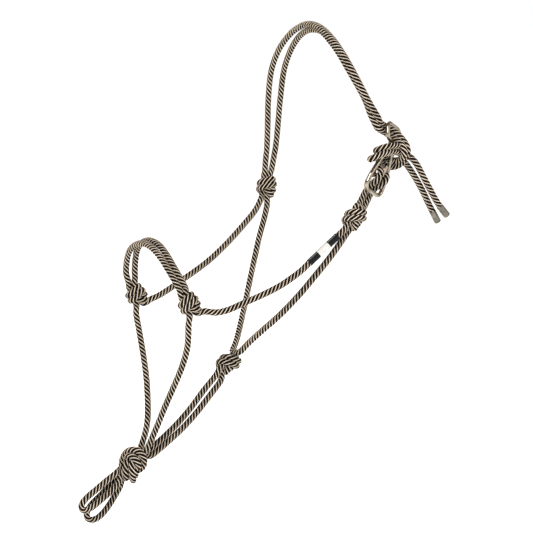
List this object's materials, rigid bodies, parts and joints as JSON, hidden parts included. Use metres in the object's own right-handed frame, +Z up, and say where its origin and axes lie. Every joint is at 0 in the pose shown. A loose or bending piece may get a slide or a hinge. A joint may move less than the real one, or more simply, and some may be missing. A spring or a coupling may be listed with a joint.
{
  "type": "rope halter",
  "caption": "Knotted rope halter with a double crown and noseband, jaw ropes, two lead loops and a cast buckle on the near side.",
  "frame": {"origin": "underside of the crown ropes where they cross the poll", "axes": "+Z up, -X towards the horse's nose, -Y towards the horse's near (left) side"},
  "size_m": [0.4024, 0.229, 0.5327],
  "materials": {
    "rope": "laid polyester rope in cream and black strands",
    "buckle_metal": "polished nickel plate",
    "ferrule_metal": "satin",
    "sleeve": "matt woven tape",
    "patch": "blank printed label"
  },
  "bodies": {
    "halter": {"crown_rope_outer": "rope", "crown_rope_inner": "rope", "off_cheek_knot": "rope", "off_cheek_rope": "rope", "off_throat_rope": "rope", "off_nose_knot": "rope", "noseband_rope_front": "rope", "noseband_rope_rear": "rope", "near_nose_knot": "rope", "near_cheek_rope": "rope", "label_sleeve": "sleeve", "label_patch": "patch", "near_cheek_knot": "rope", "near_throat_rope": "rope", "throat_knot": "rope", "jaw_rope_front": "rope", "jaw_rope_rear": "rope", "off_chin_rope": "rope", "near_chin_rope": "rope", "chin_knot": "rope", "buckle_loop": "rope"},
    "buckle": {"buckle": "buckle_metal", "hitch_rope_outer": "rope", "hitch_rope_inner": "rope"},
    "tail_upper": {"tail_rope_upper": "rope", "ferrule_upper": "ferrule_metal"},
    "tail_lower": {"tail_rope_lower": "rope", "ferrule_lower": "ferrule_metal"},
    "lead_loops": {"lead_loop_front": "rope", "lead_loop_rear": "rope"}
  },
  "joints": [
    {"name": "buckle_tilt", "type": "hinge", "parent": "halter", "child": "buckle", "pos_m": [0.02684, -0.1005, -0.14881], "axis": [0.803, 0.4636, -0.3746], "range_deg": [-12, 4]},
    {"name": "tail_upper_swing", "type": "hinge", "parent": "buckle", "child": "tail_upper", "pos_m": [0.0655, -0.098, -0.1275], "axis": [0, 1, 0], "range_deg": [-8, 8]},
    {"name": "tail_lower_swing", "type": "hinge", "parent": "buckle", "child": "tail_lower", "pos_m": [0.062, -0.095, -0.133], "axis": [0, 1, 0], "range_deg": [-8, 8]},
    {"name": "lead_loop_swing", "type": "hinge", "parent": "halter", "child": "lead_loops", "pos_m": [-0.22, 0, -0.457], "axis": [0, 1, 0], "range_deg": [-20, 20]}
  ]
}
